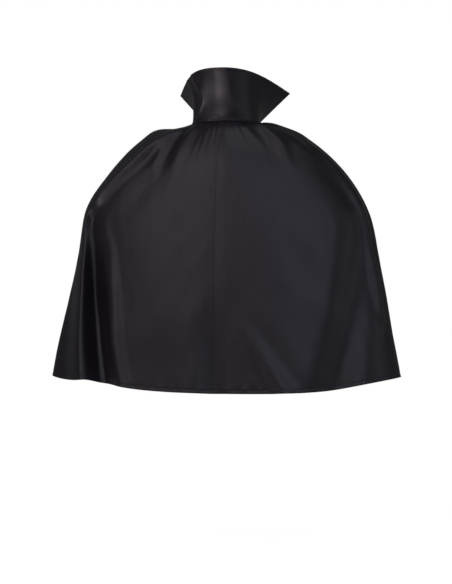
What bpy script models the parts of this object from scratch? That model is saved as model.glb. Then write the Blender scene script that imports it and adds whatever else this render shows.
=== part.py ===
"""A child's vampire cape with a stand-up pointed collar, in the shape it takes on the shoulders.

Metres, +Z up. The origin is the centre of the neck opening, level with the neck seam at centre back.
The wearer faces -Y, so the centre back seam is at +Y and the wearer's left is at +X.
Cloth is drawn 1.5 mm thick, so that each layer is a sound solid.
"""

import math

import bmesh
import bpy
from mathutils import Matrix, Vector

# Driving dimensions: the cape
NECK_HALF_WIDTH = 0.077
NECK_HALF_DEPTH = 0.060
CAPE_LENGTH = 0.643            # neck seam to hem, down the centre back
HEM_HALF_WIDTH = 0.420
HEM_HALF_DEPTH = 0.165
NECK_END = Vector((0.022, -0.058, -0.040))         # where the neck seam stops beside the throat
FOLD_AT_HEM = Vector((0.300, -0.125, -0.615))      # the line that the front swings on meets the hem here
FRONT_EDGE_AT_HEM = Vector((0.165, -0.150, -0.620))
SIDE_SHARE = 0.55              # share of the neck seam from centre back to the shoulder line
FLAP_TOP = 0.06                # the swinging front begins this share of the way down
CLOTH = 0.0015
HEM_WIDTH = 0.010              # cloth turned under along the hem and the front edges
SEAM_GAP = 0.0006              # between the two halves at the centre back seam
FOLD_GAP = 0.0022              # between a cape half and its swinging front

# Outlines, each from the neck seam to the hem: distance out from the middle, and height
SHOULDER_OUTLINE = [
    Vector((NECK_HALF_WIDTH, -0.005)),
    Vector((0.125, -0.009)),
    Vector((0.195, -0.038)),
    Vector((0.285, -0.121)),
    Vector((0.343, -0.212)),
    Vector((0.366, -0.310)),
    Vector((HEM_HALF_WIDTH, -0.608)),
]
BACK_OUTLINE = [
    Vector((NECK_HALF_DEPTH, 0.0)),
    Vector((0.082, -0.025)),
    Vector((0.104, -0.090)),
    Vector((0.116, -0.180)),
    Vector((0.136, -0.380)),
    Vector((HEM_HALF_DEPTH, -CAPE_LENGTH)),
]

# The collar: its top edge is one cubic curve from the centre back to the point
COLLAR_TOP_EDGE = [
    Vector((0.0, 0.080, 0.121)),
    Vector((0.070, 0.080, 0.122)),
    Vector((0.090, -0.005, 0.108)),
    Vector((0.134, -0.108, 0.076)),
]
COLLAR_HOLLOW = 0.006          # how far the collar curves in towards the neck between seam and top edge
COLLAR_LIFT = 0.0006           # clearance between the collar and the cape at the neck seam
COLLAR_LAYER = 0.0012
LAYER_GAP = 0.0003
COLLAR_TURNING = 0.05          # share of the collar that the turned-in seam allowance takes along each edge
STEP_SHARE = 0.008             # the allowance ends within this share

# Neck tape, hanger loop and label, inside the back of the neck
TAPE_INSET = 0.0020
TAPE_HALF_HEIGHT = 0.008
TAPE_END = 0.88                # share of the neck seam that the tape covers from centre back
LOOP_HALF_LENGTH = 0.026
LOOP_DEPTH = 0.018
LOOP_TAPE_WIDTH = 0.007
LOOP_THICKNESS = 0.0012
LOOP_TOP = -0.0095
LOOP_Y = 0.0515                 # outer side of the loop's tape
LABEL_WIDTH = 0.024
LABEL_LENGTH = 0.040
LABEL_THICKNESS = 0.0008
LABEL_AROUND = 0.30            # share of the neck seam from centre back to the label's middle
LABEL_INSET = 0.0055

# Neck closure: two overlapping tabs with a hook and a loop patch between them
TAB_HEIGHT = 0.022
TAB_THICKNESS = 0.0016
TAB_CORNER = 0.008
PATCH_THICKNESS = 0.0012
PATCH_LENGTH = 0.020
PATCH_HEIGHT = 0.016
CLOSURE_PLACE = Vector((0.0, -0.0575, -0.045))     # middle of the outer face, between the two cape halves
CLOSURE_LEAN = math.radians(12)                    # the closure leans back with the wearer's chest
OVER_TAB_ROOT = 0.0205
OVER_TAB_TIP = -0.021
UNDER_TAB_ROOT = -0.036
UNDER_TAB_TIP = 0.008
PATCH_MIDDLE = -0.007

SATIN = ("black_satin", (0.012, 0.011, 0.013), 0.38)
RED_SATIN = ("red_satin", (0.42, 0.012, 0.018), 0.40)
NONWOVEN = ("white_nonwoven", (0.72, 0.72, 0.70), 0.90)
TAPE = ("black_tape", (0.014, 0.013, 0.015), 0.65)
HOOK_AND_LOOP = ("black_hook_and_loop", (0.016, 0.016, 0.017), 0.85)
LABEL_RIBBON = ("white_ribbon", (0.80, 0.80, 0.78), 0.55)


def clear_scene():
    for obj in list(bpy.data.objects):
        bpy.data.objects.remove(obj)


def material(finish):
    name, colour, roughness = finish
    made = bpy.data.materials.get(name)
    if made is None:
        made = bpy.data.materials.new(name)
        made.use_nodes = True
        shader = made.node_tree.nodes["Principled BSDF"]
        shader.inputs["Base Color"].default_value = (*colour, 1.0)
        shader.inputs["Roughness"].default_value = roughness
        shader.inputs["Metallic"].default_value = 0.0
    return made


def add_object(name, mesh, finish, parent=None):
    """Add a piece. Its mesh is given in the world, or in its parent's own frame."""
    obj = bpy.data.objects.new(name, mesh)
    mesh.materials.append(material(finish))
    bpy.context.scene.collection.objects.link(obj)
    obj.parent = parent
    return obj


def add_pivot(name, place, turn=0.0):
    """An empty on a joint's axis, which the moving pieces hang from."""
    pivot = bpy.data.objects.new(name, None)
    pivot.location = place
    pivot.rotation_euler.z = turn
    pivot.empty_display_size = 0.02
    bpy.context.scene.collection.objects.link(pivot)
    return pivot


def spread(start, end, steps):
    """Evenly spaced values from start to end."""
    return [start + (end - start) * i / steps for i in range(steps + 1)]


def through(points, share):
    """The point that share of the way along a smooth curve through the outline points."""
    lengths = [(b - a).length for a, b in zip(points, points[1:])]
    left = share * sum(lengths)
    span = 0
    while span < len(lengths) - 1 and left > lengths[span]:
        left -= lengths[span]
        span += 1
    t = min(1.0, left / lengths[span])
    start, end = points[span], points[span + 1]
    before = points[span - 1] if span else start * 2 - end
    after = points[span + 2] if span + 2 < len(points) else end * 2 - start
    leaving = (end - before) * lengths[span] / (lengths[span] + (start - before).length)
    arriving = (after - start) * lengths[span] / (lengths[span] + (after - end).length)
    return (
        start * (2 * t**3 - 3 * t**2 + 1)
        + leaving * (t**3 - 2 * t**2 + t)
        + end * (3 * t**2 - 2 * t**3)
        + arriving * (t**3 - t**2)
    )


def cubic(points, t):
    """A point on the cubic curve with those four control points."""
    a, b, c, d = points
    s = 1 - t
    return a * s**3 + b * (3 * s * s * t) + c * (3 * s * t * t) + d * t**3


def cape_half(around, down):
    """A point on the outer face of the left half.

    around runs from 0 at centre back to 1 at the line that the front swings on,
    down from 0 at the neck seam to 1 at the hem.
    """
    out, height = through(SHOULDER_OUTLINE, down)
    if around < SIDE_SHARE:
        turn = math.pi / 2 * around / SIDE_SHARE
        back, back_height = through(BACK_OUTLINE, down)
        rise = (height - back_height) * math.sin(turn) ** 2
        return Vector((out * math.sin(turn), back * math.cos(turn), back_height + rise))
    turn = math.pi / 2 * (around - SIDE_SHARE) / (1 - SIDE_SHARE)
    fold = NECK_END.lerp(FOLD_AT_HEM, down)
    drop = (fold.z - height) * math.sin(turn) ** 2
    return Vector((fold.x + (out - fold.x) * math.cos(turn), fold.y * math.sin(turn), height + drop))


def front_flap(across, down):
    """A point on the left front: across from 0 at the swinging line to 1 at the front edge."""
    fold = NECK_END.lerp(FOLD_AT_HEM, down)
    edge = NECK_END.lerp(FRONT_EDGE_AT_HEM, down)
    return fold.lerp(edge, across)


def collar_face(around, up):
    """A point on the inner face of the collar: around from -1 to 1, up from the seam to the top edge."""
    share = abs(around)
    foot = cape_half(share, 0.0)
    foot.z += COLLAR_LIFT
    top = cubic(COLLAR_TOP_EDGE, share)
    point = foot.lerp(top, up)
    hollow = COLLAR_HOLLOW * math.sin(math.pi * up) * (1 - share**2)
    flat = Vector((point.x, point.y, 0.0)).normalized()
    point -= flat * hollow
    return Vector((math.copysign(point.x, around), point.y, point.z)) if around else point


def pushed_out(face, distance, level=False):
    """The same face, moved away from the wearer along its own normal, or level with the floor."""

    def moved(u, v):
        step = 0.002
        along = face(min(u + step, 1.0), v) - face(max(u - step, -1.0), v)
        across = face(u, min(v + step, 1.0)) - face(u, max(v - step, 0.0))
        point, normal = face(u, v), across.cross(along)
        if normal.xy.dot(point.xy) < 0:
            normal.negate()
        if level:
            normal.z = 0.0
        return point + normal.normalized() * distance

    return moved


def mirrored(face):
    """The same face on the wearer's right."""

    def moved(u, v):
        point = face(u, v)
        return Vector((-point.x, point.y, point.z))

    return moved


def unmirrored(face):
    """The same face on the wearer's left, where every face is worked out."""
    return face


def with_turning(face, thickness, turning, is_turned):
    """The inner side of a cloth face: one layer deep, and deeper where the edge is turned under."""
    single = pushed_out(face, -thickness)
    double = pushed_out(face, -turning)

    def inner(u, v):
        return double(u, v) if is_turned(u, v) else single(u, v)

    return inner


def lay_cloth(name, outer, inner, columns, rows, finish):
    """A closed sheet between an outer and an inner face, given over the same columns and rows."""
    bm = bmesh.new()
    sides = []
    for face in (outer, inner):
        grid = [[bm.verts.new(face(u, v)) for u in columns] for v in rows]
        for low, high in zip(grid, grid[1:]):
            for i in range(len(columns) - 1):
                bm.faces.new((low[i], low[i + 1], high[i + 1], high[i]))
        rim = grid[0] + [row[-1] for row in grid[1:-1]]
        rim += grid[-1][::-1] + [row[0] for row in grid[-2:0:-1]]
        sides.append(rim)
    for i in range(len(sides[0])):
        bm.faces.new((sides[0][i - 1], sides[0][i], sides[1][i], sides[1][i - 1]))
    bmesh.ops.recalc_face_normals(bm, faces=bm.faces)
    mesh = bpy.data.meshes.new(name)
    bm.to_mesh(mesh)
    bm.free()
    mesh.shade_smooth()
    mesh.set_sharp_from_angle(angle=math.radians(50))
    return add_object(name, mesh, finish)


def cape_rows(first):
    """Shares down the cape, the last ones marking where the turned hem begins."""
    hem = HEM_WIDTH / CAPE_LENGTH
    return spread(first, 1 - 1.2 * hem, 14) + [1 - hem, 1.0]


def in_hem(down):
    return down > 1 - 1.1 * HEM_WIDTH / CAPE_LENGTH


def make_cape_half(side, mirror):
    def face(around, down):
        point = cape_half(around, down)
        if around < SIDE_SHARE:
            return point + Vector((SEAM_GAP / 2 * (1 - around / SIDE_SHARE), 0.0, 0.0))
        towards_fold = (around - SIDE_SHARE) / (1 - SIDE_SHARE)
        return point + Vector((FOLD_GAP / 2 * towards_fold, 0.0, 0.0))

    inner = with_turning(face, CLOTH, 2 * CLOTH, lambda around, down: in_hem(down))
    columns = spread(0.0, SIDE_SHARE, 11) + spread(SIDE_SHARE, 1.0, 9)[1:]
    lay_cloth(f"shell_{side}", mirror(face), mirror(inner), columns, cape_rows(0.0), SATIN)


def make_front(side, mirror):
    """The front of the cape, which swings on the straight line from the throat to the hem."""
    pivot = add_pivot(f"{side}_front_axis", mirror(lambda u, v: NECK_END)(0, 0))
    facing = 1 - HEM_WIDTH / (FOLD_AT_HEM - FRONT_EDGE_AT_HEM).length

    def face(across, down):
        return front_flap(across, down) - Vector((FOLD_GAP / 2 * (1 - across), 0.0, 0.0))

    inner = with_turning(face, CLOTH, 2 * CLOTH, lambda u, v: in_hem(v) or u > facing)
    columns = spread(0.0, facing, 4) + [facing + 0.02, 1.0]
    front = lay_cloth(f"front_{side}", mirror(face), mirror(inner), columns, cape_rows(FLAP_TOP), SATIN)
    front.data.transform(Matrix.Translation(-pivot.location))
    front.parent = pivot


def collar_grid():
    """Columns and rows of the collar, with a close pair where the turned-in allowance ends."""
    side = 1 - COLLAR_TURNING / 2
    across = spread(2 * STEP_SHARE - side, side - 2 * STEP_SHARE, 26)
    columns = [-1.0, -side, STEP_SHARE - side] + across + [side - STEP_SHARE, side, 1.0]
    low, high = COLLAR_TURNING, 1 - COLLAR_TURNING
    upwards = spread(low + 2 * STEP_SHARE, high - 2 * STEP_SHARE, 4)
    rows = [0.0, low, low + STEP_SHARE] + upwards + [high - STEP_SHARE, high, 1.0]
    return columns, rows


def make_collar():
    """Black satin outside, red satin inside, and a stiff nonwoven between them."""
    columns, rows = collar_grid()
    inside_columns, inside_rows = columns[3:-3], rows[3:-3]
    lining = pushed_out(collar_face, COLLAR_LAYER, level=True)
    turning = pushed_out(collar_face, COLLAR_LAYER + LAYER_GAP, level=True)
    stiffener = pushed_out(collar_face, 2 * COLLAR_LAYER + LAYER_GAP, level=True)
    behind = pushed_out(collar_face, 2 * COLLAR_LAYER + 2 * LAYER_GAP, level=True)
    outer = pushed_out(collar_face, 3 * COLLAR_LAYER + 2 * LAYER_GAP, level=True)

    def inner(around, up):
        single = around in columns[2:-2] and up in rows[2:-2]
        return behind(around, up) if single else turning(around, up)

    lay_cloth("collar_lining", lining, collar_face, columns, rows, RED_SATIN)
    lay_cloth("collar_stiffener", stiffener, turning, inside_columns, inside_rows, NONWOVEN)
    lay_cloth("collar_outer", outer, inner, columns, rows, SATIN)


def make_neck_tape():
    """The tape sewn over the raw neck seam, inside."""

    def face(around, up):
        point = cape_half(abs(around), 0.0)
        flat = Vector((point.x, point.y, 0.0)).normalized()
        point -= flat * TAPE_INSET
        point.z += TAPE_HALF_HEIGHT * (2 * up - 1)
        return Vector((math.copysign(point.x, around), point.y, point.z)) if around else point

    inner = pushed_out(face, -COLLAR_LAYER)
    lay_cloth("neck_tape", face, inner, spread(-TAPE_END, TAPE_END, 36), spread(0.0, 1.0, 2), TAPE)


def plate(name, x_range, y_range, z_range, finish, parent=None, round_end=None):
    """A flat tab or patch. round_end is -1 or 1 for the end in x whose corners are rounded."""
    low = Vector((x_range[0], y_range[0], z_range[0]))
    high = Vector((x_range[1], y_range[1], z_range[1]))
    bm = bmesh.new()
    bmesh.ops.create_cube(bm, size=1.0)
    bmesh.ops.scale(bm, vec=high - low, verts=bm.verts)
    bmesh.ops.translate(bm, vec=(low + high) / 2, verts=bm.verts)
    if round_end is not None:
        end = low.x if round_end < 0 else high.x
        corners = [e for e in bm.edges if all(abs(v.co.x - end) < 1e-6 for v in e.verts)]
        corners = [e for e in corners if abs(e.verts[0].co.z - e.verts[1].co.z) < 1e-6]
        bmesh.ops.bevel(
            bm, geom=corners, offset=TAB_CORNER, segments=6, profile=0.5, affect="EDGES", material=-1
        )
    mesh = bpy.data.meshes.new(name)
    bm.to_mesh(mesh)
    bm.free()
    mesh.shade_smooth()
    mesh.set_sharp_from_angle(angle=math.radians(40))
    return add_object(name, mesh, finish, parent)


def make_closure():
    """Layers from the outside in: opening tab, hook patch, loop patch, fixed tab."""
    tab_tall = (-TAB_HEIGHT / 2, TAB_HEIGHT / 2)
    patch_tall = (-PATCH_HEIGHT / 2, PATCH_HEIGHT / 2)
    patch_long = (PATCH_MIDDLE - PATCH_LENGTH / 2, PATCH_MIDDLE + PATCH_LENGTH / 2)
    frame = add_pivot("closure_frame", CLOSURE_PLACE)
    frame.rotation_euler.x = -CLOSURE_LEAN
    hinge = add_pivot("closure_axis", (OVER_TAB_ROOT, 0.0, 0.0))
    hinge.parent = frame

    def next_layer(outer, thickness):
        return (outer, outer + thickness)

    def from_hinge(x_range):
        return (x_range[0] - OVER_TAB_ROOT, x_range[1] - OVER_TAB_ROOT)

    over = next_layer(0.0, TAB_THICKNESS)
    hook = next_layer(over[1] + LAYER_GAP, PATCH_THICKNESS)
    loop = next_layer(hook[1] + LAYER_GAP, PATCH_THICKNESS)
    under = next_layer(loop[1] + LAYER_GAP, TAB_THICKNESS)
    opening = from_hinge((OVER_TAB_TIP, OVER_TAB_ROOT))
    plate("closure_tab", opening, over, tab_tall, SATIN, hinge, round_end=-1)
    plate("hook_patch", from_hinge(patch_long), hook, patch_tall, HOOK_AND_LOOP, hinge)
    plate("loop_patch", patch_long, loop, patch_tall, HOOK_AND_LOOP, frame)
    plate("under_tab", (UNDER_TAB_ROOT, UNDER_TAB_TIP), under, tab_tall, SATIN, frame, round_end=1)
    sewn = (OVER_TAB_ROOT + FOLD_GAP / 2, -UNDER_TAB_ROOT)
    plate("closure_tab_root", sewn, under, tab_tall, SATIN, frame)


def make_hanger_loop():
    """A narrow tape caught into the neck seam at both ends, hanging as a shallow U from its pivot."""
    pivot = add_pivot("hanger_axis", (0.0, LOOP_Y, LOOP_TOP))
    end = LOOP_HALF_LENGTH
    gap = LOOP_HALF_LENGTH - LOOP_TAPE_WIDTH
    bar = LOOP_TAPE_WIDTH - LOOP_DEPTH
    outline = [
        (-end, 0.0),
        (-end, -LOOP_DEPTH),
        (end, -LOOP_DEPTH),
        (end, 0.0),
        (gap, 0.0),
        (gap, bar),
        (-gap, bar),
        (-gap, 0.0),
    ]
    bm = bmesh.new()
    front = bm.faces.new([bm.verts.new((x, 0.0, z)) for x, z in outline])
    grown = bmesh.ops.extrude_face_region(bm, geom=[front])
    moved = [item for item in grown["geom"] if isinstance(item, bmesh.types.BMVert)]
    bmesh.ops.translate(bm, vec=(0.0, -LOOP_THICKNESS, 0.0), verts=moved)
    bmesh.ops.recalc_face_normals(bm, faces=bm.faces)
    mesh = bpy.data.meshes.new("hanger_loop")
    bm.to_mesh(mesh)
    bm.free()
    add_object("hanger_loop", mesh, TAPE, pivot)


def make_label():
    """A blank ribbon label, sewn along its top edge just under the neck tape."""
    seam = cape_half(LABEL_AROUND, 0.0)
    along = cape_half(LABEL_AROUND + 0.01, 0.0) - cape_half(LABEL_AROUND - 0.01, 0.0)
    inward = -Vector((seam.x, seam.y, 0.0)).normalized()
    top = seam + inward * LABEL_INSET - Vector((0.0, 0.0, TAPE_HALF_HEIGHT + LAYER_GAP))
    pivot = add_pivot("label_axis", top, turn=math.atan2(along.y, along.x))
    wide = (-LABEL_WIDTH / 2, LABEL_WIDTH / 2)
    plate("care_label", wide, (-LABEL_THICKNESS, 0.0), (-LABEL_LENGTH, 0.0), LABEL_RIBBON, pivot)


def main():
    clear_scene()
    for side, mirror in (("left", unmirrored), ("right", mirrored)):
        make_cape_half(side, mirror)
        make_front(side, mirror)
    make_collar()
    make_neck_tape()
    make_closure()
    make_hanger_loop()
    make_label()


main()
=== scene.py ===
import math
from collections import namedtuple

import bmesh
import bpy
import numpy as np
from mathutils import Matrix, Vector, noise


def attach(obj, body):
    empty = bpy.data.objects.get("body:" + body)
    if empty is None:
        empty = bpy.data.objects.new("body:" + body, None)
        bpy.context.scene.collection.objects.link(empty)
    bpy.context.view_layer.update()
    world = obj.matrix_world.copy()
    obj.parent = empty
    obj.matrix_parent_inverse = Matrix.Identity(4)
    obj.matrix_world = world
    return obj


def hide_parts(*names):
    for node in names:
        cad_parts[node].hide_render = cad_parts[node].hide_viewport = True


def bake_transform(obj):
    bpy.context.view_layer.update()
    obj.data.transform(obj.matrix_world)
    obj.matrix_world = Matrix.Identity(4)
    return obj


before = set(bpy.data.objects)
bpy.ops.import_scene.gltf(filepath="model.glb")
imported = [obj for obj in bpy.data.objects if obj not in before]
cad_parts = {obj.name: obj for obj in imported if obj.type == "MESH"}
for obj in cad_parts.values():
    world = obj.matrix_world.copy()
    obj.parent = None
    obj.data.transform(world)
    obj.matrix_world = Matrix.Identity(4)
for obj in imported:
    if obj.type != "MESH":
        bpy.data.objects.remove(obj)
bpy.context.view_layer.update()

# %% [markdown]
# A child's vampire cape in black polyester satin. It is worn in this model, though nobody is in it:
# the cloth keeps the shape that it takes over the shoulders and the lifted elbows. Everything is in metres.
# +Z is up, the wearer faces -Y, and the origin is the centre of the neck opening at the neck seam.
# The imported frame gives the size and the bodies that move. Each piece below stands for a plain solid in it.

# %% [markdown]
# The outline of the cape is the same few points as in the frame: how far the cloth stands out, and how high,
# from the neck seam down to the hem. One profile runs over the shoulder and one down the centre back.
# A smooth curve goes through them, so the drape can be drawn as finely as the folds need.

# %% Driving dimensions
NECK_HALF_WIDTH = 0.077
NECK_HALF_DEPTH = 0.060
CAPE_LENGTH = 0.643
HEM_HALF_WIDTH = 0.420
HEM_HALF_DEPTH = 0.165
NECK_END = Vector((0.022, -0.058, -0.040))
FOLD_AT_HEM = Vector((0.300, -0.125, -0.615))
FRONT_EDGE_AT_HEM = Vector((0.165, -0.150, -0.620))
SIDE_SHARE = 0.55               # how much of the way round lies behind the widest point
MM = 0.001

SHOULDER_OUTLINE = [
    Vector((NECK_HALF_WIDTH, -0.005)),
    Vector((0.125, -0.009)),
    Vector((0.195, -0.038)),
    Vector((0.285, -0.121)),
    Vector((0.343, -0.212)),
    Vector((0.366, -0.310)),
    Vector((HEM_HALF_WIDTH, -0.608)),
]
BACK_OUTLINE = [
    Vector((NECK_HALF_DEPTH, 0.0)),
    Vector((0.082, -0.025)),
    Vector((0.104, -0.090)),
    Vector((0.116, -0.180)),
    Vector((0.136, -0.380)),
    Vector((HEM_HALF_DEPTH, -CAPE_LENGTH)),
]
COLLAR_TOP_EDGE = [
    Vector((0.0, 0.080, 0.121)),
    Vector((0.070, 0.080, 0.122)),
    Vector((0.090, -0.005, 0.108)),
    Vector((0.134, -0.108, 0.076)),
]
COLLAR_HOLLOW = 6 * MM
COLLAR_LIFT = 0.6 * MM
COLLAR_LAYER = 1.2 * MM
LAYER_GAP = 0.3 * MM
CLOTH = 0.6 * MM                # drawn a little thicker than real satin, so that its edge catches light

# %% [markdown]
# Three small helpers carry the whole drape. One puts a smooth curve through a few outline points and allows
# for the distances between them, so that close points don't make it overshoot. One is the usual curve with
# four control points. One is a soft step, which starts and ends level: it is used wherever a shape fades.

# %% Curves
def through(points, share):
    """The point that share of the way along a smooth curve through the outline points."""
    lengths = [(b - a).length for a, b in zip(points, points[1:])]
    left = share * sum(lengths)
    span = 0
    while span < len(lengths) - 1 and left > lengths[span]:
        left -= lengths[span]
        span += 1
    t = min(1.0, left / lengths[span])
    start, end = points[span], points[span + 1]
    before = points[span - 1] if span else start * 2 - end
    after = points[span + 2] if span + 2 < len(points) else end * 2 - start
    leaving = (end - before) * lengths[span] / (lengths[span] + (start - before).length)
    arriving = (after - start) * lengths[span] / (lengths[span] + (after - end).length)
    return (
        start * (2 * t**3 - 3 * t**2 + 1)
        + leaving * (t**3 - 2 * t**2 + t)
        + end * (3 * t**2 - 2 * t**3)
        + arriving * (t**3 - t**2)
    )


def cubic(points, t):
    """A point on the cubic curve with those four control points."""
    a, b, c, d = points
    s = 1 - t
    return a * s**3 + b * (3 * s * s * t) + c * (3 * s * t * t) + d * t**3


def smooth(value, start=0.0, end=1.0):
    """0 before start, 1 after end, and a soft step between them."""
    t = min(1.0, max(0.0, (value - start) / (end - start)))
    return t * t * (3 - 2 * t)


def spread(start, end, steps):
    """Evenly spaced values from start to end."""
    return [start + (end - start) * i / steps for i in range(steps + 1)]

# %% [markdown]
# Half of the cape is a surface with two directions. One goes around, from centre back over the shoulder to
# the line where the front turns back, and one goes down, from the neck seam to the hem. A level cut through
# it is close to a quarter of an ellipse, so sines and cosines join the outline of the shoulder to that of
# the back. The distance along the hem is measured too, so that folds can be placed in real metres.

# %% The drape without its folds
def cape_half(around, down):
    """A point on the left half: around from centre back to the front fold, down from neck to hem, 0 to 1."""
    out, height = through(SHOULDER_OUTLINE, down)
    if around < SIDE_SHARE:
        turn = math.pi / 2 * around / SIDE_SHARE
        back, back_height = through(BACK_OUTLINE, down)
        rise = (height - back_height) * math.sin(turn) ** 2
        return Vector((out * math.sin(turn), back * math.cos(turn), back_height + rise))
    turn = math.pi / 2 * (around - SIDE_SHARE) / (1 - SIDE_SHARE)
    fold = NECK_END.lerp(FOLD_AT_HEM, down)
    drop = (fold.z - height) * math.sin(turn) ** 2
    return Vector((fold.x + (out - fold.x) * math.cos(turn), fold.y * math.sin(turn), height + drop))


AROUND_STEPS = spread(0.0, 1.0, 400)
HEM_LINE = [cape_half(around, 1.0) for around in AROUND_STEPS]
HEM_RUN = np.concatenate([[0.0], np.cumsum([(b - a).length for a, b in zip(HEM_LINE, HEM_LINE[1:])])])
FOLD_RUN = float(HEM_RUN[-1])
HALF_HEM = FOLD_RUN + (FRONT_EDGE_AT_HEM - FOLD_AT_HEM).length
print(f"half the hem is {HALF_HEM:.3f} m, and the front is its last {HALF_HEM - FOLD_RUN:.3f} m")


def drape(run, down):
    """A point on the left half, run metres along the hem from centre back, and down from neck to hem."""
    if run <= FOLD_RUN:
        return cape_half(float(np.interp(run, HEM_RUN, AROUND_STEPS)), down)
    across = (run - FOLD_RUN) / (HALF_HEM - FOLD_RUN)
    return NECK_END.lerp(FOLD_AT_HEM, down).lerp(NECK_END.lerp(FRONT_EDGE_AT_HEM, down), across)


def outward(face, u, v, u_step=0.004, v_step=0.006):
    """The direction away from the wearer, square to the face."""
    along = face(u + u_step, v) - face(max(u - u_step, 0.0), v)
    across = face(u, min(v + v_step, 1.0)) - face(u, max(v - v_step, 0.0))
    point, normal = face(u, v), across.cross(along)
    if normal.length < 1e-12:
        return Vector((0.0, -1.0, 0.0))
    if normal.xy.dot(point.xy) < 0:
        normal.negate()
    return normal.normalized()


# %% [markdown]
# Cloth that hangs from a point falls in cones: each fold starts as nothing below the neck or the elbow and
# grows towards the hem. So a fold is a short path down the cloth, with a width and a depth. The two halves
# have different folds, because cloth never hangs evenly: the left elbow is held out further, and the cloth
# breaks over it in one deep valley. Under the named folds, a smooth noise that runs downwards gives the
# faint waves that satin always has. A path is two points, each run metres along the hem and a share down.

# %% Folds
Fold = namedtuple("Fold", "path start full width depth")

FOLDS = {
    "left": [
        Fold([(0.345, 0.13), (0.408, 0.42)], 0.05, 0.18, 0.010, 0.013),
        Fold([(0.410, 0.08), (0.442, 0.32)], 0.04, 0.18, 0.028, -0.013),
        Fold([(0.480, 0.60), (0.462, 1.0)], 0.60, 1.00, 0.026, 0.013),
        Fold([(0.345, 0.03), (0.310, 0.14)], 0.02, 0.06, 0.010, 0.0036),
        Fold([(0.300, 0.03), (0.265, 0.16)], 0.02, 0.06, 0.012, -0.0032),
        Fold([(0.240, 0.03), (0.215, 0.13)], 0.02, 0.06, 0.012, 0.0025),
        Fold([(0.180, 0.55), (0.120, 1.0)], 0.60, 1.00, 0.060, -0.004),
    ],
    "right": [
        Fold([(0.475, 0.34), (0.292, 1.0)], 0.25, 0.85, 0.038, -0.015),
        Fold([(0.395, 0.40), (0.207, 1.0)], 0.35, 0.85, 0.050, 0.005),
        Fold([(0.445, 0.25), (0.438, 0.75)], 0.12, 0.30, 0.009, 0.008),
        Fold([(0.460, 0.06), (0.425, 0.34)], 0.04, 0.20, 0.020, -0.007),
        Fold([(0.400, 0.14), (0.415, 0.30)], 0.10, 0.20, 0.010, 0.004),
        Fold([(0.360, 0.03), (0.330, 0.14)], 0.02, 0.06, 0.010, 0.0032),
        Fold([(0.310, 0.03), (0.280, 0.14)], 0.02, 0.06, 0.012, -0.0028),
        Fold([(0.200, 0.04), (0.220, 0.30)], 0.03, 0.10, 0.030, -0.003),
        Fold([(0.100, 0.80), (0.173, 1.0)], 0.70, 1.00, 0.020, 0.007),
    ],
}
FRONT_FOLDS = [
    Fold([(0.66, 0.15), (0.605, 1.0)], 0.15, 0.80, 0.026, 0.011),
    Fold([(0.60, 0.25), (0.545, 1.0)], 0.25, 0.80, 0.020, -0.009),
    Fold([(0.76, 0.40), (0.745, 1.0)], 0.45, 1.00, 0.022, -0.007),
]
ELBOW_LIFT = {"left": 13 * MM, "right": 2 * MM}
SHOULDER_LIFT = {"left": -6 * MM, "right": 2 * MM}
HEM_SHIFT = {                    # where the hem is drawn up or hangs lower: run, width, height
    "left": [(0.325, 0.035, 7 * MM), (0.25, 0.04, 3 * MM), (0.43, 0.05, -5 * MM)],
    "right": [(0.24, 0.13, -7 * MM)],
}
HEM_TURN = 9 * MM
print("folds:", {side: len(folds) for side, folds in FOLDS.items()}, "and", len(FRONT_FOLDS), "on each front")

# %% [markdown]
# The valley below the left elbow is too deep for a push along the cloth's own normal: its walls would swing
# past each other. It is pushed straight forward and back instead, between four lines that run down the
# cloth: where the back turns in, the bottom of the valley, the crest of the next fold, and where that ends.

# %% The deep fold below the left elbow
DEEP_FOLD = [
    # down, then the runs of the turn, the bottom and the crest
    (0.38, 0.405, 0.432, 0.460),
    (0.46, 0.362, 0.405, 0.445),
    (0.55, 0.315, 0.375, 0.430),
    (0.70, 0.285, 0.340, 0.397),
    (0.85, 0.262, 0.305, 0.375),
    (1.00, 0.226, 0.270, 0.347),
]
DEEP_SHARES = [0.0, -0.16, 1.0, -0.55, 0.0]      # of the depth, at each line and one beyond each side
DEEP_BEYOND = (0.035, 0.060)
DEEP_DEPTH = 46 * MM
DEEP_WAY = Vector((0.21, -0.98, 0.0))
DEEP_START, DEEP_FULL = 0.33, 0.80


def deep_fold(run, down):
    """How far the deep fold pushes the cloth forwards."""
    downs = [row[0] for row in DEEP_FOLD]
    turn, bottom, crest = (float(np.interp(down, downs, [row[i] for row in DEEP_FOLD])) for i in (1, 2, 3))
    lines = [turn - DEEP_BEYOND[0], turn, bottom, crest, crest + DEEP_BEYOND[1]]
    if not lines[0] < run < lines[-1]:
        return 0.0
    depth = DEEP_DEPTH * smooth(down, DEEP_START, DEEP_FULL)
    for (low, high), (first, last) in zip(zip(lines, lines[1:]), zip(DEEP_SHARES, DEEP_SHARES[1:])):
        if run <= high:
            return depth * (first + (last - first) * smooth(run, low, high))
    return 0.0


print("the deep fold is", round(DEEP_DEPTH / MM), "mm deep at the hem")

# %% [markdown]
# All the other folds move the cloth along its own normal, so their heights can simply be added up. A fold's
# section is a bump with a shallow dip on each side, because cloth that is pushed up in one place is drawn
# from next to it. The seam and the hem add what sewing does to satin: a fine groove, and puckers beside it.

# %% One fold
def bell(value, middle, width):
    """A smooth bump of height 1."""
    return math.exp(-((value - middle) / width) ** 2)


def path_at(path, down):
    """Where along the hem a fold lies at that height, with its path carried on past both ends."""
    (run_0, down_0), (run_1, down_1) = path
    return run_0 + (run_1 - run_0) * (down - down_0) / (down_1 - down_0)


def spread_at(down):
    """How wide the cloth is at that height, as a share of its width at the hem."""
    return 0.30 + 0.70 * down


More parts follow.
